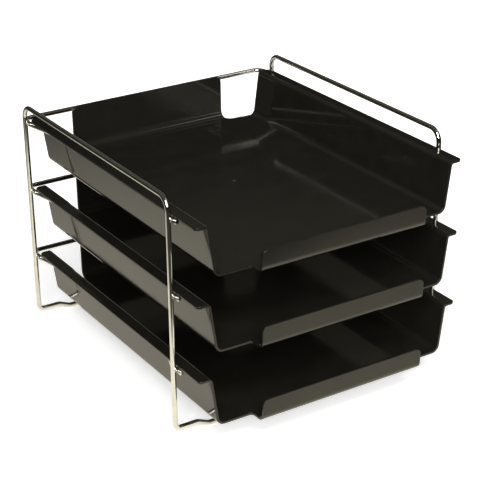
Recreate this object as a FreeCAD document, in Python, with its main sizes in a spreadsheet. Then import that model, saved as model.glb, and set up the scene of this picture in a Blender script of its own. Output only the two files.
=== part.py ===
"""Stack of three letter trays in an open frame of bent and welded wire.

Millimetres, +Z up, the front towards -Y. The origin lies on the table, under the middle of the stack.
Five bent wires make the frame: two side loops and three runners. Each tray hangs on a runner by its flanges.
"""
import FreeCAD, Part
import math
import os

import Sketcher
from FreeCAD import Vector

# Driving dimensions

SIZES = {
    "wire_diameter": 4.8,
    "loop_spacing": 293.8,
    "front_upright_y": -124.0,
    "upright_spacing": 286.6,
    "top_rail_rise": 20.2,
    "top_bend_radius": 12.5,
    "foot_bend_radius": 5.5,
    "foot_drop": 5.0,
    "foot_step_inset": 23.0,
    "foot_step_run": 12.0,
    "foot_step_radius": 8.0,
    "lowest_runner_height": 67.2,
    "tray_pitch": 73.3,
    "weld_sink": 0.4,
    "runner_end_overhang": 5.0,
    "runner_end_chamfer": 0.8,
    "runner_front_straight": 8.0,
    "runner_front_offset_run": 16.0,
    "runner_rear_straight": 4.0,
    "runner_rear_offset_run": 32.0,
    "runner_offset_radius": 10.0,
    "runner_corner_radius": 10.0,
    "rail_under_flange": 6.8,
    "rest_clearance": 0.3,
    "tray_side_gap": 1.3,
    "tray_back_setback": 13.8,
    "tray_thickness": 2.5,
    "tray_depth": 47.2,
    "tray_length": 339.4,
    "flange_width": 13.6,
    "flange_root_radius": 2.0,
    "flange_front_radius": 4.5,
    "flange_rear_radius": 6.0,
    "wall_flare": 6.7,
    "wall_heel_radius": 6.0,
    "wall_offset": 0.8,
    "wall_offset_length": 50.0,
    "wall_offset_blend": 8.0,
    "floor_edge_radius": 6.0,
    "corner_cut_depth": 15.2,
    "corner_cut_radius": 9.0,
    "back_half_width": 89.0,
    "back_top_drop": 1.6,
    "back_bend_radius": 8.0,
    "back_corner_radius": 7.0,
    "tongue_reach": 15.4,
    "tongue_root_radius": 3.5,
    "tongue_overlap": 6.0,
    "lip_half_width": 88.5,
    "lip_height": 20.8,
    "lip_lean": 0.6,
    "lip_bend_radius": 6.2,
    "lip_corner_radius": 6.0,
}

LEVELS = ("bottom", "middle", "top")

# The round wire is drawn with this many flats, which keeps its many bends light
WIRE_FLATS = 16

# An outline that cuts or carries a bend runs past it by this many bend radii
PAST_BEND = 2

# Places that follow from the driving dimensions, as expressions over the sheet

WIRE_RADIUS = "Sizes.wire_diameter / 2"
LOOP_X = "(Sizes.loop_spacing / 2)"
FRONT_Y = "Sizes.front_upright_y"
REAR_Y = "(Sizes.front_upright_y + Sizes.upright_spacing)"

FOOT_Z = "(Sizes.wire_diameter / 2)"
LEG_Z = f"({FOOT_Z} + Sizes.foot_drop)"
FOOT_BEND_TOP_Z = f"({LEG_Z} + 2 * Sizes.foot_bend_radius)"
STEP_OUTER_X = f"({LOOP_X} - Sizes.foot_step_inset)"
STEP_INNER_X = f"({STEP_OUTER_X} - Sizes.foot_step_run)"
TOP_RAIL_Z = (
    f"(Sizes.lowest_runner_height + {len(LEVELS) - 1} * Sizes.tray_pitch + Sizes.top_rail_rise)"
)

FLANGE_X = f"({LOOP_X} - {WIRE_RADIUS} - Sizes.tray_side_gap)"
WALL_TOP_X = f"({FLANGE_X} - Sizes.flange_width)"
WALL_FOOT_X = f"({WALL_TOP_X} - Sizes.wall_flare)"
TRAY_BACK_Y = f"({REAR_Y} + Sizes.tray_back_setback)"
BACK_TOP_Z = "(Sizes.tray_depth - Sizes.back_top_drop)"
HEEL_REACH = f"({PAST_BEND} * Sizes.wall_heel_radius)"

WELD_X = f"({LOOP_X} - Sizes.wire_diameter + Sizes.weld_sink)"
RAIL_X = f"({FLANGE_X} - Sizes.rail_under_flange)"
RUNNER_END_Y = f"({FRONT_Y} - {WIRE_RADIUS} - Sizes.runner_end_overhang)"
RUNNER_CROSS_Y = f"({TRAY_BACK_Y} + Sizes.rest_clearance + {WIRE_RADIUS})"

NEAR = 0.01

doc = FreeCAD.newDocument("LetterTrays")
ruler = doc.addObject("App::FeaturePython", "Ruler")


def fill_sheet():
    """Puts the driving dimensions into the document's spreadsheet."""
    sheet = doc.addObject("Spreadsheet::Sheet", "Sizes")
    for row, (alias, number) in enumerate(SIZES.items(), start=1):
        sheet.set(f"A{row}", alias)
        sheet.set(f"B{row}", str(number))
        sheet.setAlias(f"B{row}", alias)
    doc.recompute()


def number_of(expression):
    """The number that an expression over the sheet gives."""
    return float(ruler.evalExpression(expression))


# Sketches: chains of straight runs joined by tangent bends


def new_sketch(body, name, role, lift="0"):
    """A sketch on one of the body's own origin planes, lifted along that plane's normal."""
    plane = next(f for f in body.Origin.OriginFeatures if f.Role == role)
    sketch = body.newObject("Sketcher::SketchObject", name)
    sketch.AttachmentSupport = (plane, "")
    sketch.MapMode = "FlatFace"
    sketch.setExpression(".AttachmentOffset.Base.z", lift)
    return sketch


def bind(sketch, kind, *where_and_value):
    """Adds a constraint whose last argument is an expression, and binds it to that expression."""
    *where, expression = where_and_value
    index = sketch.addConstraint(Sketcher.Constraint(kind, *where, number_of(expression)))
    sketch.setExpression(f"Constraints[{index}]", expression)


def pin(sketch, geometry, vertex, across, up):
    """Fixes a point of the sketch at two expressions, measured from the sketch's origin."""
    for kind, axis, expression in (("DistanceX", -2, across), ("DistanceY", -1, up)):
        if expression == "0":
            sketch.addConstraint(Sketcher.Constraint("PointOnObject", geometry, vertex, axis))
        else:
            bind(sketch, kind, -1, 1, geometry, vertex, expression)


def heading(start, end):
    """The unit vector from one point to the next."""
    return (end - start).normalize()


def is_left_turn(before, after):
    return before.cross(after).z > 0


def add_bend(sketch, corner, before, after, radius):
    """A tangent arc that rounds a corner. Gives its index and the ends that meet each run."""
    left = is_left_turn(before, after)
    setback = radius * math.tan(before.getAngle(after) / 2)
    inward = Vector(-before.y, before.x, 0) if left else Vector(before.y, -before.x, 0)
    centre = corner - before * setback + inward * radius
    first = corner - before * setback - centre
    last = corner + after * setback - centre
    if not left:
        first, last = last, first
    begin = math.atan2(first.y, first.x)
    end = math.atan2(last.y, last.x)
    circle = Part.Circle(centre, Vector(0, 0, 1), radius)
    arc = sketch.addGeometry(Part.ArcOfCircle(circle, begin, end))
    return (arc, 1, 2) if left else (arc, 2, 1)


def draw_runs(sketch, points, radii, closed):
    """Draws the straight runs and bends of a chain, joined and tangent. Gives the runs."""
    count = len(points)
    steps = count if closed else count - 1
    ways = [heading(points[i], points[(i + 1) % count]) for i in range(steps)]
    setbacks = [0.0] * count
    for i, radius in enumerate(radii):
        if radius:
            setbacks[i] = number_of(radius) * math.tan(ways[i - 1].getAngle(ways[i]) / 2)
    runs = []
    for i, way in enumerate(ways):
        j = (i + 1) % count
        line = Part.LineSegment(points[i] + way * setbacks[i], points[j] - way * setbacks[j])
        runs.append(sketch.addGeometry(line))
    for i, radius in enumerate(radii):
        inner = closed or 0 < i < count - 1
        if radius:
            arc, meets_before, meets_after = add_bend(
                sketch, points[i], ways[i - 1], ways[i], number_of(radius)
            )
            sketch.addConstraint(Sketcher.Constraint("Tangent", runs[i - 1], 2, arc, meets_before))
            sketch.addConstraint(Sketcher.Constraint("Tangent", arc, meets_after, runs[i], 1))
            bind(sketch, "Radius", arc, radius)
        elif inner:
            sketch.addConstraint(Sketcher.Constraint("Coincident", runs[i - 1], 2, runs[i], 1))
    return runs


def draw_chain(sketch, corners, closed=False):
    """Draws a chain through corners given as (across, up, bend radius or None) expressions.

    Gives the straight runs and the construction points that mark the corners.
    """
    points = [Vector(number_of(across), number_of(up), 0) for across, up, _ in corners]
    radii = [radius for _, _, radius in corners]
    runs = draw_runs(sketch, points, radii, closed)
    marks = []
    for i, (across, up, radius) in enumerate(corners):
        mark = sketch.addGeometry(Part.Point(points[i]), True)
        pin(sketch, mark, 1, across, up)
        marks.append(mark)
        if radius:
            for run in (runs[i - 1], runs[i]):
                sketch.addConstraint(Sketcher.Constraint("PointOnObject", mark, 1, run))
        elif i < len(runs):
            sketch.addConstraint(Sketcher.Constraint("Coincident", mark, 1, runs[i], 1))
        else:
            sketch.addConstraint(Sketcher.Constraint("Coincident", mark, 1, runs[i - 1], 2))
    return runs, marks


def draw_strip(sketch, corners, thickness):
    """Draws the closed section of a wall of even thickness.

    The corners lie on its left face, seen along the chain, and the wall lies to the right of them.
    A corner's radius is the one on the inside of the bend. The outside gets the thickness as well.
    """
    points = [Vector(number_of(across), number_of(up), 0) for across, up, _ in corners]
    ways = [heading(points[i], points[i + 1]) for i in range(len(points) - 1)]
    last = len(points) - 1
    left_face = []
    right_radii = []
    for i, (across, up, radius) in enumerate(corners):
        if radius is None:
            left_face.append((across, up, None))
            right_radii.append(None)
        elif is_left_turn(ways[i - 1], ways[i]):
            left_face.append((across, up, radius))
            right_radii.append(f"{radius} + {thickness}")
        else:
            left_face.append((across, up, f"{radius} + {thickness}"))
            right_radii.append(radius)
    left_runs, marks = draw_chain(sketch, left_face)

    depth = number_of(thickness)
    rights = [Vector(way.y, -way.x, 0) for way in ways]
    right_points = [points[0] + rights[0] * depth]
    for i in range(1, last):
        bisector = (rights[i - 1] + rights[i]).normalize()
        right_points.append(points[i] + bisector * (depth / bisector.dot(rights[i])))
    right_points.append(points[last] + rights[-1] * depth)
    right_runs = draw_runs(sketch, right_points, right_radii, closed=False)
    for left_run, right_run, mark in zip(left_runs, right_runs, marks):
        sketch.addConstraint(Sketcher.Constraint("Parallel", left_run, right_run))
        bind(sketch, "Distance", mark, 1, right_run, thickness)

    for left_run, right_run, vertex, i in (
        (left_runs[0], right_runs[0], 1, 0),
        (left_runs[-1], right_runs[-1], 2, last),
    ):
        edge = sketch.addGeometry(Part.LineSegment(points[i], right_points[i]))
        sketch.addConstraint(Sketcher.Constraint("Coincident", edge, 1, left_run, vertex))
        sketch.addConstraint(Sketcher.Constraint("Coincident", edge, 2, right_run, vertex))
        sketch.addConstraint(Sketcher.Constraint("Perpendicular", edge, left_run))


def draw_wire_section(sketch, across, up):
    """Draws the wire's section, a regular polygon with flats at its sides, its top and its bottom.

    Across its flats it measures the wire's diameter. Its corners lie on a construction ring.
    """
    corner_radius = f"{WIRE_RADIUS} / cos(180 deg / {WIRE_FLATS})"
    reach = number_of(corner_radius)
    centre = Vector(number_of(across), number_of(up), 0)
    ring = sketch.addGeometry(Part.Circle(centre, Vector(0, 0, 1), reach), True)
    pin(sketch, ring, 3, across, up)
    bind(sketch, "Radius", ring, corner_radius)

    turns = [2 * math.pi * (i - 0.5) / WIRE_FLATS for i in range(WIRE_FLATS)]
    corners = [centre + Vector(math.cos(turn), math.sin(turn), 0) * reach for turn in turns]
    flats = []
    for start, end in zip(corners, corners[1:] + corners[:1]):
        flats.append(sketch.addGeometry(Part.LineSegment(start, end)))
    for before, after in zip(flats[-1:] + flats[:-1], flats):
        sketch.addConstraint(Sketcher.Constraint("Coincident", before, 2, after, 1))
        sketch.addConstraint(Sketcher.Constraint("PointOnObject", after, 1, ring))
    for flat in flats[1:]:
        sketch.addConstraint(Sketcher.Constraint("Equal", flats[0], flat))
    sketch.addConstraint(Sketcher.Constraint("Vertical", flats[0]))


# Features


def new_body(label):
    body = doc.addObject("PartDesign::Body", label)
    body.Label = label
    return body


def sweep_wire(body, name, spine, profile):
    """Sweeps the wire's section along a sketched path."""
    pipe = body.newObject("PartDesign::AdditivePipe", name)
    pipe.Profile = profile
    pipe.Spine = spine
    doc.recompute()


def pad(body, name, sketch, length, both_ways=False):
    """Pads a sketch along its normal, or half to each side."""
    feature = body.newObject("PartDesign::Pad", name)
    feature.Profile = sketch
    feature.SideType = "Symmetric" if both_ways else "One side"
    feature.setExpression("Length", length)
    doc.recompute()
    return feature


def cut_through(body, name, sketch):
    """Cuts a sketch's outline through the whole body, both ways, and checks that it takes something."""
    before = body.Shape.Volume
    feature = body.newObject("PartDesign::Pocket", name)
    feature.Profile = sketch
    feature.SideType = "Symmetric"
    feature.Type = "ThroughAll"
    doc.recompute()
    if body.Shape.Volume >= before:
        raise ValueError(f"{name} cuts nothing")
    return feature


def dress_edges(body, kind, name, wanted, size):
    """Puts a Fillet or a Chamfer on the body's edges for which wanted(edge) holds."""
    base = body.Tip
    edges = [f"Edge{i}" for i, edge in enumerate(base.Shape.Edges, start=1) if wanted(edge)]
    if not edges:
        raise ValueError(f"{name} finds no edge")
    feature = body.newObject(f"PartDesign::{kind}", name)
    feature.Base = (base, edges)
    feature.setExpression("Radius" if kind == "Fillet" else "Size", size)
    doc.recompute()


def all_vertices(edge, test):
    """True where test(point) holds at both ends of an edge."""
    return all(test(vertex.Point) for vertex in edge.Vertexes)


def is_across_wall(edge):
    """True for the short edges that run through the wall's thickness at a free corner."""
    return len({round(vertex.Point.x, 2) for vertex in edge.Vertexes}) == 1


# The wire frame


def side_loop(label, sign):
    """One side of the frame: front foot, upright, top rail, upright and rear foot, in one bent wire."""
    body = new_body(label)
    loop_x = f"{sign}{LOOP_X}"
    for place, upright_y in (("Front", FRONT_Y), ("Rear", REAR_Y)):
        profile = new_sketch(body, f"{place}FootProfile", "YZ_Plane")
        draw_wire_section(profile, upright_y, FOOT_Z)
        spine = new_sketch(body, f"{place}FootPath", "XZ_Plane", f"-{upright_y}")
        draw_chain(spine, [
            ("0", FOOT_Z, None),
            (f"{sign}{STEP_INNER_X}", FOOT_Z, "Sizes.foot_step_radius"),
            (f"{sign}{STEP_OUTER_X}", LEG_Z, "Sizes.foot_step_radius"),
            (loop_x, LEG_Z, "Sizes.foot_bend_radius"),
            (loop_x, FOOT_BEND_TOP_Z, None),
        ])
        sweep_wire(body, f"{place}Foot", spine, profile)
    profile = new_sketch(body, "UprightProfile", "XY_Plane", FOOT_BEND_TOP_Z)
    draw_wire_section(profile, loop_x, FRONT_Y)
    spine = new_sketch(body, "UprightPath", "YZ_Plane", loop_x)
    draw_chain(spine, [
        (FRONT_Y, FOOT_BEND_TOP_Z, None),
        (FRONT_Y, TOP_RAIL_Z, "Sizes.top_bend_radius"),
        (REAR_Y, TOP_RAIL_Z, "Sizes.top_bend_radius"),
        (REAR_Y, FOOT_BEND_TOP_Z, None),
    ])
    sweep_wire(body, "Uprights", spine, profile)
    return body


def tray_runner(label, level):
    """One runner: two rails under the flanges and a cross run behind the tray, in one bent wire.

    Beside each upright the wire is offset outward and notched by the upright that it is welded to.
    """
    body = new_body(label)
    runner_z = f"(Sizes.lowest_runner_height + {level} * Sizes.tray_pitch)"
    offset_radius = "Sizes.runner_offset_radius"
    left_half = [
        (f"-{WELD_X}", RUNNER_END_Y, None),
        (f"-{WELD_X}", f"({FRONT_Y} + Sizes.runner_front_straight)", offset_radius),
        (f"-{RAIL_X}", f"({FRONT_Y} + Sizes.runner_front_straight + Sizes.runner_front_offset_run)",
         offset_radius),
        (f"-{RAIL_X}", f"({REAR_Y} - Sizes.runner_rear_straight - Sizes.runner_rear_offset_run)",
         offset_radius),
        (f"-{WELD_X}", f"({REAR_Y} - Sizes.runner_rear_straight)", offset_radius),
        (f"-{WELD_X}", RUNNER_CROSS_Y, "Sizes.runner_corner_radius"),
    ]
    right_half = [(across.lstrip("-"), up, radius) for across, up, radius in reversed(left_half)]
    spine = new_sketch(body, "RunnerPath", "XY_Plane", runner_z)
    draw_chain(spine, left_half + right_half)
    profile = new_sketch(body, "RunnerProfile", "XZ_Plane", f"-{RUNNER_END_Y}")
    draw_wire_section(profile, f"-{WELD_X}", runner_z)
    sweep_wire(body, "Runner", spine, profile)

    end_y = number_of(RUNNER_END_Y)
    dress_edges(
        body, "Chamfer", "ClippedEnds",
        lambda edge: all_vertices(edge, lambda p: abs(p.y - end_y) < NEAR),
        "Sizes.runner_end_chamfer",
    )
    seats = new_sketch(body, "WeldSeatOutline", "XY_Plane", runner_z)
    for across in (f"-{LOOP_X}", LOOP_X):
        for upright_y in (FRONT_Y, REAR_Y):
            draw_wire_section(seats, across, upright_y)
    cut_through(body, "WeldSeats", seats)
    return body


# The trays


def channel_section(body, name, forward, inset):
    """The moulding's section across: flange, drafted wall, floor, drafted wall and flange."""
    wall_top = f"({WALL_TOP_X} - {inset})"
    wall_foot = f"({WALL_FOOT_X} - {inset})"
    left_half = [
        (f"-{FLANGE_X}", "Sizes.tray_depth", None),
        (f"-{wall_top}", "Sizes.tray_depth", "Sizes.flange_root_radius"),
        (f"-{wall_foot}", "0", "Sizes.floor_edge_radius"),
    ]
    right_half = [(across[1:], up, radius) for across, up, radius in reversed(left_half)]
    sketch = new_sketch(body, name, "XZ_Plane", forward)
    draw_strip(sketch, left_half + right_half, "Sizes.tray_thickness")
    return sketch


def add_channel(body):
    """The open channel. Its walls are set inward along the rear, with a soft blend in between."""
    blend_start = "(Sizes.corner_cut_depth + Sizes.wall_offset_length)"
    blend_end = f"({blend_start} + Sizes.wall_offset_blend)"
    rear = channel_section(body, "RearSection", "Sizes.corner_cut_depth", "Sizes.wall_offset")
    pad(body, "RearChannel", rear, "Sizes.wall_offset_length")
    blend_rear = channel_section(body, "BlendRearSection", blend_start, "Sizes.wall_offset")
    blend_front = channel_section(body, "BlendFrontSection", blend_end, "0")
    blend = body.newObject("PartDesign::AdditiveLoft", "ChannelBlend")
    blend.Profile = blend_rear
    blend.Sections = [blend_front]
    blend.Ruled = True
    doc.recompute()
    front = channel_section(body, "FrontSection", blend_end, "0")
    pad(body, "FrontChannel", front, f"Sizes.tray_length - {blend_end}")


def round_wall_heels(body):
    """Rounds the lower rear corners of the walls, seen from the side."""
    cut_y = "(-Sizes.corner_cut_depth)"
    under_z = "(-Sizes.tray_thickness)"
    past = "Sizes.tray_thickness"
    sketch = new_sketch(body, "WallHeelOutline", "YZ_Plane")
    draw_chain(sketch, [
        (cut_y, f"({under_z} + {HEEL_REACH})", None),
        (cut_y, under_z, "Sizes.wall_heel_radius"),
        (f"({cut_y} - {HEEL_REACH})", under_z, None),
        (f"({cut_y} - {HEEL_REACH})", f"({under_z} - {past})", None),
        (f"({cut_y} + {past})", f"({under_z} - {past})", None),
        (f"({cut_y} + {past})", f"({under_z} + {HEEL_REACH})", None),
    ], closed=True)
    cut_through(body, "WallHeels", sketch)


def add_back(body):
    """The back wall, which curves up out of the floor, and the cut-outs that leave the corners open."""
    profile = new_sketch(body, "BackProfile", "YZ_Plane")
    draw_strip(profile, [
        (f"(-Sizes.corner_cut_depth - {HEEL_REACH})", "0", None),
        ("(-Sizes.tray_thickness)", "0", "Sizes.back_bend_radius"),
        ("(-Sizes.tray_thickness)", BACK_TOP_Z, None),
    ], "Sizes.tray_thickness")
    flared_half = f"(Sizes.back_half_width + {PAST_BEND} * Sizes.corner_cut_radius)"
    pad(body, "Back", profile, f"2 * {flared_half}", both_ways=True)

    outline = new_sketch(body, "CornerCutOutline", "XY_Plane")
    draw_chain(outline, [
        ("Sizes.back_half_width", "Sizes.tray_thickness", None),
        ("Sizes.back_half_width", "(-Sizes.corner_cut_depth)", "Sizes.corner_cut_radius"),
        (FLANGE_X, "(-Sizes.corner_cut_depth)", None),
        (FLANGE_X, "Sizes.tray_thickness", None),
    ], closed=True)
    cut = cut_through(body, "CornerCut", outline)
    mirror = body.newObject("PartDesign::Mirrored", "CornerCuts")
    mirror.Originals = [cut]
    mirror.MirrorPlane = (outline, ["V_Axis"])
    body.Tip = mirror
    doc.recompute()


def add_lip(body):
    """The tongue that runs on forward from the floor, and the finger lip that it turns up into."""
    profile = new_sketch(body, "LipProfile", "YZ_Plane")
    lip_foot_y = "-(Sizes.tray_length + Sizes.tongue_reach)"
    draw_strip(profile, [
        (f"({lip_foot_y} - Sizes.lip_lean)", "Sizes.lip_height", None),
        (lip_foot_y, "0", "Sizes.lip_bend_radius"),
        ("(-Sizes.tray_length + Sizes.tongue_overlap)", "0", None),
    ], "Sizes.tray_thickness")
    pad(body, "Lip", profile, "2 * Sizes.lip_half_width", both_ways=True)


def round_tray_corners(body):
    """Rounds the free corners of the flanges, the back and the lip, and the roots of the tongue."""
    flange_x = number_of(FLANGE_X)
    flange_z = number_of("Sizes.tray_depth - Sizes.tray_thickness")
    front_y = number_of("-Sizes.tray_length")
    rear_y = number_of("-Sizes.corner_cut_depth")
    back_x = number_of("Sizes.back_half_width")
    back_z = number_of(BACK_TOP_Z)
    lip_x = number_of("Sizes.lip_half_width")
    lip_z = number_of("Sizes.lip_height - Sizes.tray_thickness")

    def flange_corner(y):
        return lambda p: abs(abs(p.x) - flange_x) < NEAR and abs(p.y - y) < NEAR and p.z > flange_z - NEAR

    def back_corner(p):
        return abs(abs(p.x) - back_x) < NEAR and abs(p.z - back_z) < NEAR

    def lip_corner(p):
        return abs(abs(p.x) - lip_x) < NEAR and p.y < front_y and p.z > lip_z

    def tongue_root(p):
        return abs(abs(p.x) - lip_x) < NEAR and abs(p.y - front_y) < NEAR

    for name, corner, radius in (
        ("FlangeFrontCorners", flange_corner(front_y), "Sizes.flange_front_radius"),
        ("FlangeRearCorners", flange_corner(rear_y), "Sizes.flange_rear_radius"),
        ("BackCorners", back_corner, "Sizes.back_corner_radius"),
        ("LipCorners", lip_corner, "Sizes.lip_corner_radius"),
        ("TongueRoots", tongue_root, "Sizes.tongue_root_radius"),
    ):
        dress_edges(
            body, "Fillet", name,
            lambda edge: is_across_wall(edge) and all_vertices(edge, corner),
            radius,
        )


def letter_tray(label, level):
    """One tray, moulded in one piece. Its own origin is on the floor, at the outer face of the back."""
    body = new_body(label)
    add_channel(body)
    round_wall_heels(body)
    add_back(body)
    add_lip(body)
    round_tray_corners(body)
    floor_z = (
        f"Sizes.lowest_runner_height + {level} * Sizes.tray_pitch + {WIRE_RADIUS}"
        " + Sizes.rest_clearance + Sizes.tray_thickness - Sizes.tray_depth"
    )
    body.setExpression(".Placement.Base.y", TRAY_BACK_Y)
    body.setExpression(".Placement.Base.z", floor_z)
    return body


def build():
    """Makes every piece of the stack."""
    bodies = [side_loop("left_side_loop", "-"), side_loop("right_side_loop", "")]
    for level, place in enumerate(LEVELS):
        bodies.append(tray_runner(f"tray_runner_{place}", level))
        bodies.append(letter_tray(f"letter_tray_{place}", level))
    return bodies


def check(bodies):
    """Stops the run if any object failed or any piece isn't one valid solid."""
    for item in doc.Objects:
        if "Invalid" in item.State or "Error" in item.State:
            raise ValueError(f"{item.Label} failed to recompute")
    for body in bodies:
        shape = body.Shape
        if shape.isNull() or not shape.isValid() or len(shape.Solids) != 1:
            raise ValueError(f"{body.Label} isn't one valid solid")


fill_sheet()
pieces = build()
doc.recompute()
check(pieces)
os.makedirs("parts", exist_ok=True)
for piece in pieces:
    piece.Shape.exportStep(f"parts/{piece.Label}.step")
    box = piece.Shape.BoundBox
    print(piece.Label, f"volume {piece.Shape.Volume:.0f} mm3,",
          f"x {box.XMin:.1f} to {box.XMax:.1f}, y {box.YMin:.1f} to {box.YMax:.1f},",
          f"z {box.ZMin:.1f} to {box.ZMax:.1f}")
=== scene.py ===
"""A stack of three black letter trays in a frame of bright bent wire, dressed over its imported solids.

The stack's sizes are in millimetres and named as in the solids. Every pattern's width and depth is in
millimetres too, and MM turns them all into Blender's metres. The studio's places and sizes are in metres. A
glow of 1 is white.
"""
import math

import bmesh
import bpy
from mathutils import Matrix, Vector


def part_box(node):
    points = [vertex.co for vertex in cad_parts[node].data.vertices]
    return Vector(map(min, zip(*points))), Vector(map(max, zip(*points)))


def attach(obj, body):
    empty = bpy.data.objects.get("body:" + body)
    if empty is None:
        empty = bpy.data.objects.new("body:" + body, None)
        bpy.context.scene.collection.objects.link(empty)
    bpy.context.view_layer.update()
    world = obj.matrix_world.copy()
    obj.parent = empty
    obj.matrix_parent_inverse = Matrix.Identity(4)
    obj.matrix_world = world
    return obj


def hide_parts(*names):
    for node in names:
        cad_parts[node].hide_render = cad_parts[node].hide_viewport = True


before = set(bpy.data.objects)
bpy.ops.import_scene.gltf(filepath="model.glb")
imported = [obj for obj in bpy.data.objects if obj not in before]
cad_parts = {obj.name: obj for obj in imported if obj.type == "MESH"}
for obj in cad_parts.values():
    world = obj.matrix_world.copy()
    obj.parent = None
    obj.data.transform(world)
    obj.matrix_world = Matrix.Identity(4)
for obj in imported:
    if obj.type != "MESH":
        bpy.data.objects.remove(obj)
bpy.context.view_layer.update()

MM = 0.001

# The frame's places, read from the solids, and the bends that a box can't tell

LEVELS = ("bottom", "middle", "top")

loop_low, loop_high = (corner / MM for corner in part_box("right_side_loop"))
runner_low, runner_high = (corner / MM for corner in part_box("tray_runner_top"))
flange_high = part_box("letter_tray_top")[1] / MM

WIRE_RADIUS = 2.4
LOOP_X = loop_high.x - WIRE_RADIUS
FRONT_Y = loop_low.y + WIRE_RADIUS
REAR_Y = loop_high.y - WIRE_RADIUS
TOP_RAIL_Z = loop_high.z - WIRE_RADIUS
FOOT_Z = loop_low.z + WIRE_RADIUS

TOP_BEND_RADIUS = 12.5
FOOT_BEND_RADIUS = 5.5
FOOT_DROP = 5.0
FOOT_STEP_INSET = 23.0
FOOT_STEP_RUN = 12.0
FOOT_STEP_RADIUS = 8.0

WELD_X = runner_high.x - WIRE_RADIUS
RAIL_UNDER_FLANGE = 6.8
RAIL_X = flange_high.x - RAIL_UNDER_FLANGE
RUNNER_END_Y = runner_low.y
RUNNER_CROSS_Y = runner_high.y - WIRE_RADIUS
RUNNER_FRONT_STRAIGHT = 8.0
RUNNER_FRONT_RUN = 16.0
RUNNER_REAR_STRAIGHT = 4.0
RUNNER_REAR_RUN = 32.0
RUNNER_BEND_RADIUS = 10.0

# How finely the pieces are drawn: sides and steps of their rounds, and what counts as sharp, joined or flat

WIRE_SIDES = 32
BEND_STEP = math.radians(4.5)
WIRE_END_ROUND = 0.8
WIRE_END_STEPS = 4
MOULDING_EDGE_ROUND = 0.5
MOULDING_EDGE_STEPS = 3
SHARP_FROM = math.radians(35)
JOINED_WITHIN = 0.002
FLAT_WITHIN = math.radians(0.5)

# The low dome that the mould's gate leaves in the middle of each tray's floor

GATE_Y = 6.0
GATE_RADIUS = 4.5
GATE_TOP_RADIUS = 1.5
GATE_HEIGHT = 0.34

# The chromium plate: its colours, its roughness from clear to hazed, and how wide its patterns are

CHROME_CLEAR = "ECEBE7"
CHROME_HAZED = "DEDCD6"
CHROME_ROUGHNESS = (0.04, 0.08)
CHROME_HAZE_WIDTH = 9
CHROME_RIPPLE_WIDTH = 12
CHROME_RIPPLE_DEPTH = 0.1

# The black polystyrene: its colours, its roughness from clean to scuffed, and how wide its patterns are

PLASTIC_CLEAN = "1F1E1A"
PLASTIC_SCUFFED = "24231E"
PLASTIC_SHEEN = "FFFAEC"
PLASTIC_IOR = 1.53
PLASTIC_ROUGHNESS = (0.07, 0.115)
PLASTIC_WAVE_WIDTH = 120
PLASTIC_WAVE_DEPTH = 0.5
PLASTIC_GRAIN_WIDTH = 3
PLASTIC_GRAIN_DEPTH = 0.04
PLASTIC_SCUFF_WIDTH = 22

# The part of a noise's range that most of its values lie in

NOISE_LOW = 0.35
NOISE_HIGH = 0.7

# The paper floor. A painted pool of light fades out away from the middle, and ends in front of the stack

WHITE = "FFFFFF"
PAPER_DULL = "EBE6D8"
PAPER_BRIGHT = "F0ECDE"
# Past the pool the paper is dark: partly the floor past the sheet's front end, partly painted shade
PAPER_UNLIT = "2B2822"
PAPER_SHADED = "F9F9F9"
PAPER_FIBRE_WIDTH = 1.5
FLOOR_RADIUS = 30.0
FLOOR_SIDES = 96
FLOOR_GLOW = 0.56
POOL_INNER = 0.15
POOL_OUTER = 0.9
POOL_REST = 0.05
# The painted glow that mirrors see on the pool, and its tint
PAINTED_POOL_GLOW = 0.41
PAINTED_GLOW_TINT = "FFF7E0"
PAPER_FRONT_WAY = (-0.403, -0.915, 0.0)
PAPER_FRONT = 0.36
PAPER_FRONT_BLUR = 0.06

# The low white card far behind the stack

CARD_DISTANCE = 4.0
CARD_WIDTH = 3.0
CARD_HEIGHT = 0.5
CARD_GLOW = 0.6

# The room. The two limits between dark and lit are sines of the angle above the floor

ROOM_TINT = "FFF7DC"
ROOM_GLOW = 0.075
ROOM_DARK_GLOW = 0.012
ROOM_DARK_UP_TO = 0.365
ROOM_LIT_FROM = 0.415
AMBIENT = 0.22

# The lamps, with their power in watts. The small one draws the light line on the top runner's cross run

STACK_MIDDLE = (0, 0, 0.1)
CROSS_RUN_RIGHT = (0.1, 0.18, 0.2)
LAMPS = {
    "overhead_soft_box": {
        "place": (-0.55, -1.38, 1.86), "target": STACK_MIDDLE, "width": 1.5, "height": 0.6, "power": 24,
    },
    "front_soft_box": {
        "place": (-1.3, -2.35, 1.5), "target": STACK_MIDDLE, "width": 1.9, "height": 0.9, "power": 48,
    },
    "side_lamp": {
        "place": (1.3, -0.65, 2.1), "target": CROSS_RUN_RIGHT, "width": 0.4, "height": 0.3, "power": 1.0,
    },
}

# The photograph's camera, with its place in millimetres: left of the front, a little turned, with a long lens

CAMERA_EYE = (-721.3, -1161.3, 733.6)
CAMERA_AZIMUTH = math.radians(-31.405)
CAMERA_ELEVATION = math.radians(24.612)
CAMERA_ROLL = math.radians(-0.974)
CAMERA_LENS = 113.87
CAMERA_SHIFT = (0.0259, 0.0085)


# Pieces


def add_piece(name, shape, material):
    """Turns a bmesh into a piece of one material, with its place in its mesh."""
    mesh = bpy.data.meshes.new(name)
    shape.to_mesh(mesh)
    shape.free()
    mesh.materials.append(material)
    piece = bpy.data.objects.new(name, mesh)
    bpy.context.scene.collection.objects.link(piece)
    return piece


def finished_piece(name, shape, body, node, material):
    """A smooth piece of the stack, which rides on a body and stands for a node."""
    piece = add_piece(name, shape, material)
    for face in piece.data.polygons:
        face.use_smooth = True
    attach(piece, body)
    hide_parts(node)
    return piece


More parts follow.
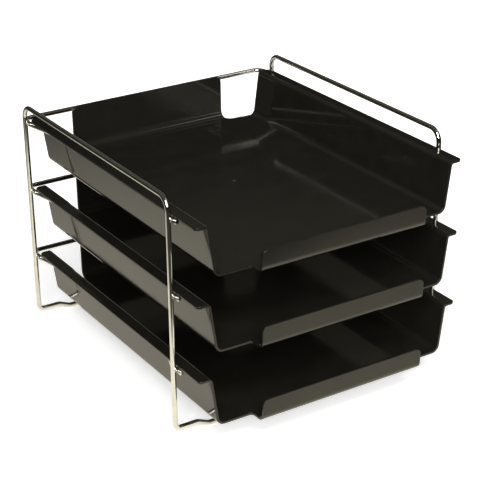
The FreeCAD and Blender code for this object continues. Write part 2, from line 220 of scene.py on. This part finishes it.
def spin_bend(shape, ring, corner, before, after, radius):
    """Spins the wire's last ring round a bend, and gives the new last ring."""
    bend = before.angle(after)
    centre = corner + (after - before).normalized() * (radius / math.cos(bend / 2))
    spun = bmesh.ops.spin(
        shape, geom=ring, cent=centre, axis=before.cross(after).normalized(), angle=bend,
        steps=round(bend / BEND_STEP), dvec=(0, 0, 0), use_merge=False, use_duplicate=False,
    )
    return [part for part in spun["geom_last"] if isinstance(part, bmesh.types.BMEdge)]


def pull_run(shape, ring, move):
    """Pulls the wire's last ring along a straight run, and gives the new last ring."""
    pulled = bmesh.ops.extrude_edge_only(shape, edges=ring)["geom"]
    points = [part for part in pulled if isinstance(part, bmesh.types.BMVert)]
    bmesh.ops.translate(shape, verts=points, vec=move)
    return [part for part in pulled if isinstance(part, bmesh.types.BMEdge)
            and all(point in points for point in part.verts)]


def bent_wire(corners):
    """A round wire through (point, bend radius) corners, with its ends closed and slightly rounded."""
    points = [Vector(point) * MM for point, _ in corners]
    radii = [radius * MM for _, radius in corners]
    ways = [(end - start).normalized() for start, end in zip(points, points[1:])]
    setbacks = [0.0] * len(points)
    for i in range(1, len(points) - 1):
        setbacks[i] = radii[i] * math.tan(ways[i - 1].angle(ways[i]) / 2)

    shape = bmesh.new()
    facing = ways[0].to_track_quat("Z", "X").to_matrix().to_4x4()
    bmesh.ops.create_circle(
        shape, segments=WIRE_SIDES, radius=WIRE_RADIUS * MM, matrix=Matrix.Translation(points[0]) @ facing
    )
    first_ring = list(shape.edges)
    ring = first_ring
    for i, way in enumerate(ways):
        length = (points[i + 1] - points[i]).length - setbacks[i] - setbacks[i + 1]
        ring = pull_run(shape, ring, way * length)
        if i + 1 < len(ways):
            ring = spin_bend(shape, ring, points[i + 1], way, ways[i + 1], radii[i + 1])
    for end in (first_ring, ring):
        bmesh.ops.contextual_create(shape, geom=end)
        bmesh.ops.bevel(
            shape, geom=end, offset=WIRE_END_ROUND * MM, offset_type="OFFSET", affect="EDGES",
            segments=WIRE_END_STEPS, profile=0.5, material=-1,
        )
    bmesh.ops.recalc_face_normals(shape, faces=shape.faces)
    return shape


def side_loop(sign):
    """One side of the frame: front foot, upright, top rail, upright and rear foot."""
    leg_z = FOOT_Z + FOOT_DROP
    step_outer = LOOP_X - FOOT_STEP_INSET
    step_inner = step_outer - FOOT_STEP_RUN
    front_half = [
        ((0, FRONT_Y, FOOT_Z), 0),
        ((sign * step_inner, FRONT_Y, FOOT_Z), FOOT_STEP_RADIUS),
        ((sign * step_outer, FRONT_Y, leg_z), FOOT_STEP_RADIUS),
        ((sign * LOOP_X, FRONT_Y, leg_z), FOOT_BEND_RADIUS),
        ((sign * LOOP_X, FRONT_Y, TOP_RAIL_Z), TOP_BEND_RADIUS),
    ]
    rear_half = [((x, REAR_Y, z), radius) for (x, _, z), radius in reversed(front_half)]
    return bent_wire(front_half + rear_half)


def tray_runner(height):
    """One runner: two rails that are offset out to the uprights, and the cross run behind the tray."""
    front_straight_end = FRONT_Y + RUNNER_FRONT_STRAIGHT
    rear_straight_start = REAR_Y - RUNNER_REAR_STRAIGHT
    left_half = [
        ((-WELD_X, RUNNER_END_Y, height), 0),
        ((-WELD_X, front_straight_end, height), RUNNER_BEND_RADIUS),
        ((-RAIL_X, front_straight_end + RUNNER_FRONT_RUN, height), RUNNER_BEND_RADIUS),
        ((-RAIL_X, rear_straight_start - RUNNER_REAR_RUN, height), RUNNER_BEND_RADIUS),
        ((-WELD_X, rear_straight_start, height), RUNNER_BEND_RADIUS),
        ((-WELD_X, RUNNER_CROSS_Y, height), RUNNER_BEND_RADIUS),
    ]
    right_half = [((-x, y, z), radius) for (x, y, z), radius in reversed(left_half)]
    return bent_wire(left_half + right_half)


def moulded_tray(node):
    """The tray's own solid, merged from its loose triangles into whole faces."""
    shape = bmesh.new()
    shape.from_mesh(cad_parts[node].data)
    bmesh.ops.remove_doubles(shape, verts=shape.verts, dist=JOINED_WITHIN * MM)
    bmesh.ops.dissolve_limit(
        shape, angle_limit=FLAT_WITHIN, verts=shape.verts, edges=shape.edges, use_dissolve_boundaries=False
    )
    return shape


def soften_edges(piece):
    """Rounds the moulding's sharp edges a little, as the mould leaves them."""
    bevel = piece.modifiers.new("edge_round", "BEVEL")
    bevel.width = MOULDING_EDGE_ROUND * MM
    bevel.segments = MOULDING_EDGE_STEPS
    bevel.limit_method = "ANGLE"
    bevel.angle_limit = SHARP_FROM
    # The shortest edges are 0.29 mm long, and clamping to them would shrink the round
    bevel.use_clamp_overlap = False
    bevel.harden_normals = True
    weighted = piece.modifiers.new("flat_faces", "WEIGHTED_NORMAL")
    weighted.keep_sharp = True


# Materials


def linear(hex_colour):
    """A linear colour from an sRGB hex value such as 1A1916."""
    channels = [int(hex_colour[i:i + 2], 16) / 255 for i in (0, 2, 4)]
    return tuple(c / 12.92 if c <= 0.04045 else ((c + 0.055) / 1.055) ** 2.4 for c in channels) + (1.0,)


def add_node(tree, kind, links=None, values=None, stops=(), **settings):
    """Adds a node with its properties, links from other nodes' sockets, constant inputs and colour stops."""
    node = tree.nodes.new(kind)
    for name, setting in settings.items():
        setattr(node, name, setting)
    for name, value in (values or {}).items():
        node.inputs[name].default_value = value
    for name, source in (links or {}).items():
        tree.links.new(source, node.inputs[name])
    for i, (position, hex_colour) in enumerate(stops):
        node.color_ramp.elements[i].position = position
        node.color_ramp.elements[i].color = linear(hex_colour)
    return node


def new_material(name):
    """An empty node material and its tree."""
    material = bpy.data.materials.new(name)
    material.use_nodes = True
    material.node_tree.nodes.clear()
    return material, material.node_tree


def per_metre(width):
    """The texture scale that gives one feature per so many millimetres."""
    return 1 / (width * MM)


def chromed_steel():
    """Chromium plate over steel wire, which was drawn, bent and welded before it was plated.

    The plate is nearly a mirror. Shallow ripples, left by the drawing, make the mirrored edges waver. A faint
    haze in the plate makes patches that are a little softer and greyer.
    """
    material, tree = new_material("bright_chromium_plate")
    place = add_node(tree, "ShaderNodeTexCoord").outputs["Object"]
    haze = add_node(
        tree, "ShaderNodeTexNoise", {"Vector": place},
        {"Scale": per_metre(CHROME_HAZE_WIDTH), "Detail": 4.0},
    )
    roughness = add_node(
        tree, "ShaderNodeMapRange", {"Value": haze.outputs["Fac"]},
        {"From Min": NOISE_LOW, "From Max": NOISE_HIGH,
         "To Min": CHROME_ROUGHNESS[0], "To Max": CHROME_ROUGHNESS[1]},
    )
    ripple = add_node(
        tree, "ShaderNodeTexNoise", {"Vector": place},
        {"Scale": per_metre(CHROME_RIPPLE_WIDTH), "Detail": 1.0},
    )
    bump = add_node(
        tree, "ShaderNodeBump", {"Height": ripple.outputs["Fac"]},
        {"Strength": 0.08, "Distance": CHROME_RIPPLE_DEPTH * MM},
    )
    colour = add_node(
        tree, "ShaderNodeValToRGB", {"Fac": haze.outputs["Fac"]},
        stops=((0.3, CHROME_CLEAR), (0.75, CHROME_HAZED)),
    )
    shader = add_node(
        tree, "ShaderNodeBsdfPrincipled",
        {"Base Color": colour.outputs["Color"], "Roughness": roughness.outputs["Result"],
         "Normal": bump.outputs["Normal"]},
        {"Metallic": 1.0},
    )
    add_node(tree, "ShaderNodeOutputMaterial", {"Surface": shader.outputs["BSDF"]})
    return material


def black_polystyrene():
    """Black polystyrene, injection moulded in a polished steel mould.

    The mould's polish leaves a semi-gloss skin. Shrinkage leaves slow waves, so mirrored edges swim a little.
    The fine grain takes the edge off the mirror, and light scuffs make patches that are duller and paler. The
    real grain is a few tenths of a millimetre wide, too fine to show, so it is drawn 3 mm wide.
    """
    material, tree = new_material("moulded_black_polystyrene")
    place = add_node(tree, "ShaderNodeTexCoord").outputs["Object"]
    waves = add_node(
        tree, "ShaderNodeTexNoise", {"Vector": place},
        {"Scale": per_metre(PLASTIC_WAVE_WIDTH), "Detail": 1.0},
    )
    wave_bump = add_node(
        tree, "ShaderNodeBump", {"Height": waves.outputs["Fac"]},
        {"Strength": 0.15, "Distance": PLASTIC_WAVE_DEPTH * MM},
    )
    grain = add_node(
        tree, "ShaderNodeTexNoise", {"Vector": place},
        {"Scale": per_metre(PLASTIC_GRAIN_WIDTH), "Detail": 2.0},
    )
    grain_bump = add_node(
        tree, "ShaderNodeBump", {"Height": grain.outputs["Fac"], "Normal": wave_bump.outputs["Normal"]},
        {"Strength": 0.04, "Distance": PLASTIC_GRAIN_DEPTH * MM},
    )
    from_gate = add_node(
        tree, "ShaderNodeMapping", {"Vector": place},
        {"Location": (0.0, -GATE_Y * MM, 0.0), "Scale": (1.0, 1.0, 0.0)},
    )
    gate_distance = add_node(
        tree, "ShaderNodeVectorMath", {0: from_gate.outputs["Vector"]}, operation="LENGTH"
    )
    gate_dome = add_node(
        tree, "ShaderNodeMapRange", {"Value": gate_distance.outputs["Value"]},
        {"From Min": GATE_TOP_RADIUS * MM, "From Max": GATE_RADIUS * MM, "To Min": 1.0, "To Max": 0.0},
        interpolation_type="SMOOTHSTEP",
    )
    gate_bump = add_node(
        tree, "ShaderNodeBump",
        {"Height": gate_dome.outputs["Result"], "Normal": grain_bump.outputs["Normal"]},
        {"Strength": 1.0, "Distance": GATE_HEIGHT * MM},
    )
    scuffs = add_node(
        tree, "ShaderNodeTexNoise", {"Vector": place},
        {"Scale": per_metre(PLASTIC_SCUFF_WIDTH), "Detail": 6.0},
    )
    roughness = add_node(
        tree, "ShaderNodeMapRange", {"Value": scuffs.outputs["Fac"]},
        {"From Min": NOISE_LOW, "From Max": NOISE_HIGH,
         "To Min": PLASTIC_ROUGHNESS[0], "To Max": PLASTIC_ROUGHNESS[1]},
    )
    colour = add_node(
        tree, "ShaderNodeValToRGB", {"Fac": scuffs.outputs["Fac"]},
        stops=((0.35, PLASTIC_CLEAN), (0.75, PLASTIC_SCUFFED)),
    )
    shader = add_node(
        tree, "ShaderNodeBsdfPrincipled",
        {"Base Color": colour.outputs["Color"], "Roughness": roughness.outputs["Result"],
         "Normal": gate_bump.outputs["Normal"]},
        {"IOR": PLASTIC_IOR, "Specular Tint": linear(PLASTIC_SHEEN)},
    )
    add_node(tree, "ShaderNodeOutputMaterial", {"Surface": shader.outputs["BSDF"]})
    return material


def white_paper():
    """Uncoated white paper, pressed from fibres, which is matt and scatters the light evenly.

    The camera sees it white, with the stack's shadow. A warm pool of light round the stack is painted on it,
    in its colour and as a glow that the plastic and the chrome see only in their mirrors. The pool ends in
    front of the stack, where the sheet ends; past it the paper is painted dark, partly as the floor beyond
    the sheet and partly as painted shade. The real fibres are finer than a tenth of a millimetre, too fine to
    show, so they are drawn 1.5 mm wide.
    """
    material, tree = new_material("white_paper_floor")
    place = add_node(tree, "ShaderNodeTexCoord").outputs["Object"]
    distance = add_node(tree, "ShaderNodeVectorMath", {0: place}, operation="LENGTH")
    pool = add_node(
        tree, "ShaderNodeMapRange", {"Value": distance.outputs["Value"]},
        {"From Min": POOL_INNER, "From Max": POOL_OUTER, "To Min": 1.0, "To Max": POOL_REST},
        interpolation_type="SMOOTHSTEP",
    )
    forward = add_node(
        tree, "ShaderNodeVectorMath", {0: place}, {1: PAPER_FRONT_WAY}, operation="DOT_PRODUCT"
    )
    paper_front = add_node(
        tree, "ShaderNodeMapRange", {"Value": forward.outputs["Value"]},
        {"From Min": PAPER_FRONT - PAPER_FRONT_BLUR, "From Max": PAPER_FRONT + PAPER_FRONT_BLUR,
         "To Min": 1.0, "To Max": POOL_REST},
        interpolation_type="SMOOTHSTEP",
    )
    # The painted pool of light: the fade from the middle, cut off where the sheet ends in front
    lit = add_node(
        tree, "ShaderNodeMath", {0: pool.outputs["Result"], 1: paper_front.outputs["Result"]},
        operation="MULTIPLY",
    )
    path = add_node(tree, "ShaderNodeLightPath")
    mirrored = add_node(
        tree, "ShaderNodeMath", {0: path.outputs["Is Glossy Ray"], 1: path.outputs["Is Transmission Ray"]},
        operation="MAXIMUM",
    )
    # A painted glow on the pool, which only mirrored rays see, stands in for its light
    painted_glow_share = add_node(
        tree, "ShaderNodeMath", {0: lit.outputs["Value"], 1: mirrored.outputs["Value"]},
        operation="MULTIPLY",
    )
    painted_pool_glow = add_node(
        tree, "ShaderNodeMath", {0: painted_glow_share.outputs["Value"]}, {1: PAINTED_POOL_GLOW}, operation="MULTIPLY"
    )
    fibre = add_node(
        tree, "ShaderNodeTexNoise", {"Vector": place},
        {"Scale": per_metre(PAPER_FIBRE_WIDTH), "Detail": 3.0},
    )
    paper = add_node(
        tree, "ShaderNodeValToRGB", {"Fac": fibre.outputs["Fac"]},
        stops=((0.0, PAPER_DULL), (1.0, PAPER_BRIGHT)),
    )
    # The pool of light painted into the paper's colour, with painted shade past it
    paper_with_painted_pool = add_node(
        tree, "ShaderNodeMix", {"Factor": lit.outputs["Value"], "B": paper.outputs["Color"]},
        {"A": linear(PAPER_UNLIT)}, data_type="RGBA",
    )
    paper_shader = add_node(tree, "ShaderNodeBsdfDiffuse", {"Color": paper_with_painted_pool.outputs["Result"]})
    painted_glow_shader = add_node(
        tree, "ShaderNodeEmission", {"Strength": painted_pool_glow.outputs["Value"]}, {"Color": linear(PAINTED_GLOW_TINT)}
    )
    # All but the camera see the painted pool, both in the paper's colour and as its glow
    real = add_node(
        tree, "ShaderNodeAddShader", {0: paper_shader.outputs["BSDF"], 1: painted_glow_shader.outputs["Emission"]}
    )
    shaded = add_node(tree, "ShaderNodeBsdfDiffuse", values={"Color": linear(PAPER_SHADED)})
    white_level = add_node(
        tree, "ShaderNodeMapRange", {"Value": lit.outputs["Value"]}, {"To Min": 1.0, "To Max": FLOOR_GLOW}
    )
    white = add_node(tree, "ShaderNodeEmission", {"Strength": white_level.outputs["Result"]})
    seen = add_node(tree, "ShaderNodeAddShader", {0: shaded.outputs["BSDF"], 1: white.outputs["Emission"]})
    both = add_node(
        tree, "ShaderNodeMixShader",
        {0: path.outputs["Is Camera Ray"], 1: real.outputs["Shader"], 2: seen.outputs["Shader"]},
    )
    add_node(tree, "ShaderNodeOutputMaterial", {"Surface": both.outputs["Shader"]})
    return material


def white_card():
    """Matt white card, evenly lit: white to the camera, and a little dimmer to what mirrors it."""
    material, tree = new_material("white_background_card")
    path = add_node(tree, "ShaderNodeLightPath")
    strength = add_node(
        tree, "ShaderNodeMix", {"Factor": path.outputs["Is Camera Ray"]}, {"A": CARD_GLOW, "B": 1.0},
        data_type="FLOAT",
    )
    glow = add_node(
        tree, "ShaderNodeEmission", {"Strength": strength.outputs["Result"]}, {"Color": linear(WHITE)}
    )
    add_node(tree, "ShaderNodeOutputMaterial", {"Surface": glow.outputs["Emission"]})
    return material


# The studio


def paper_floor():
    """The paper that the stack stands on, which reaches out to the horizon."""
    material = white_paper()
    shape = bmesh.new()
    bmesh.ops.create_circle(shape, cap_ends=True, segments=FLOOR_SIDES, radius=FLOOR_RADIUS)
    add_piece("studio_floor", shape, material)


def background_card():
    """The low card that stands far behind the stack, which shiny edges pick up as a thin light line."""
    material = white_card()
    shape = bmesh.new()
    behind = Matrix.Translation((0, CARD_DISTANCE, CARD_HEIGHT / 2))
    upright = Matrix.Rotation(CAMERA_AZIMUTH, 4, "Z") @ behind @ Matrix.Rotation(math.pi / 2, 4, "X")
    stretch = Matrix.Diagonal((CARD_WIDTH, CARD_HEIGHT, 1, 1))
    # The grid's size is half its side, so this is a square of one metre before it is stretched
    bmesh.ops.create_grid(shape, x_segments=1, y_segments=1, size=0.5, matrix=upright @ stretch)
    add_piece("background_card", shape, material)


def studio_world():
    """White to the camera, an even soft light to the stack, and a dim warm room where the stack mirrors it.

    The room is dark near the floor and lighter above, so the top tray's floor is nearly black at its rear and
    lighter in front.
    """
    world = bpy.data.worlds.new("studio")
    world.use_nodes = True
    tree = world.node_tree
    tree.nodes.clear()
    path = add_node(tree, "ShaderNodeLightPath")
    way = add_node(tree, "ShaderNodeTexCoord").outputs["Generated"]
    height = add_node(tree, "ShaderNodeSeparateXYZ", {"Vector": way})
    room_glow = add_node(
        tree, "ShaderNodeMapRange", {"Value": height.outputs["Z"]},
        {"From Min": ROOM_DARK_UP_TO, "From Max": ROOM_LIT_FROM,
         "To Min": ROOM_DARK_GLOW, "To Max": ROOM_GLOW},
        interpolation_type="SMOOTHSTEP",
    )
    room = add_node(
        tree, "ShaderNodeBackground", {"Strength": room_glow.outputs["Result"]},
        {"Color": linear(ROOM_TINT)},
    )
    ambient = add_node(tree, "ShaderNodeBackground", values={"Color": linear(WHITE), "Strength": AMBIENT})
    white = add_node(tree, "ShaderNodeBackground", values={"Color": linear(WHITE), "Strength": 1.0})
    unseen = add_node(
        tree, "ShaderNodeMixShader",
        {0: path.outputs["Is Glossy Ray"], 1: ambient.outputs["Background"], 2: room.outputs["Background"]},
    )
    seen = add_node(
        tree, "ShaderNodeMixShader",
        {0: path.outputs["Is Camera Ray"], 1: unseen.outputs["Shader"], 2: white.outputs["Background"]},
    )
    add_node(tree, "ShaderNodeOutputWorld", {"Surface": seen.outputs["Shader"]})
    bpy.context.scene.world = world


def studio_lamp(name, place, target, width, height, power):
    """A rectangular lamp that points at a target."""
    lamp = bpy.data.lights.new(name, "AREA")
    lamp.shape = "RECTANGLE"
    lamp.size = width
    lamp.size_y = height
    lamp.energy = power
    stand = bpy.data.objects.new(name, lamp)
    stand.location = place
    stand.rotation_euler = (Vector(target) - Vector(place)).to_track_quat("-Z", "Y").to_euler()
    bpy.context.scene.collection.objects.link(stand)


def photo_camera():
    """The camera where the photograph was taken from."""
    lens = bpy.data.cameras.new("photo_camera")
    lens.lens = CAMERA_LENS
    lens.shift_x, lens.shift_y = CAMERA_SHIFT
    camera = bpy.data.objects.new("photo_camera", lens)
    turn = (
        Matrix.Rotation(CAMERA_AZIMUTH, 4, "Z")
        @ Matrix.Rotation(math.pi / 2 - CAMERA_ELEVATION, 4, "X")
        @ Matrix.Rotation(CAMERA_ROLL, 4, "Z")
    )
    camera.matrix_world = Matrix.Translation(Vector(CAMERA_EYE) * MM) @ turn
    bpy.context.scene.collection.objects.link(camera)
    bpy.context.scene.camera = camera


# Putting it together

chrome = chromed_steel()
plastic = black_polystyrene()

for side, sign in (("left", -1), ("right", 1)):
    finished_piece(
        f"{side}_loop_wire", side_loop(sign), "frame", f"{side}_side_loop", chrome
    )
for level in LEVELS:
    runner_node = f"tray_runner_{level}"
    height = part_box(runner_node)[1].z / MM - WIRE_RADIUS
    finished_piece(
        f"{level}_runner_wire", tray_runner(height), "frame", runner_node, chrome
    )
for level in LEVELS:
    tray_node = f"letter_tray_{level}"
    tray_body = f"{level}_tray"
    tray = finished_piece(
        f"{tray_body}_moulding", moulded_tray(tray_node), tray_body, tray_node, plastic
    )
    soften_edges(tray)

paper_floor()
studio_world()
for lamp_name, lamp_settings in LAMPS.items():
    studio_lamp(lamp_name, **lamp_settings)
background_card()
photo_camera()

bpy.context.scene.view_settings.view_transform = "Standard"
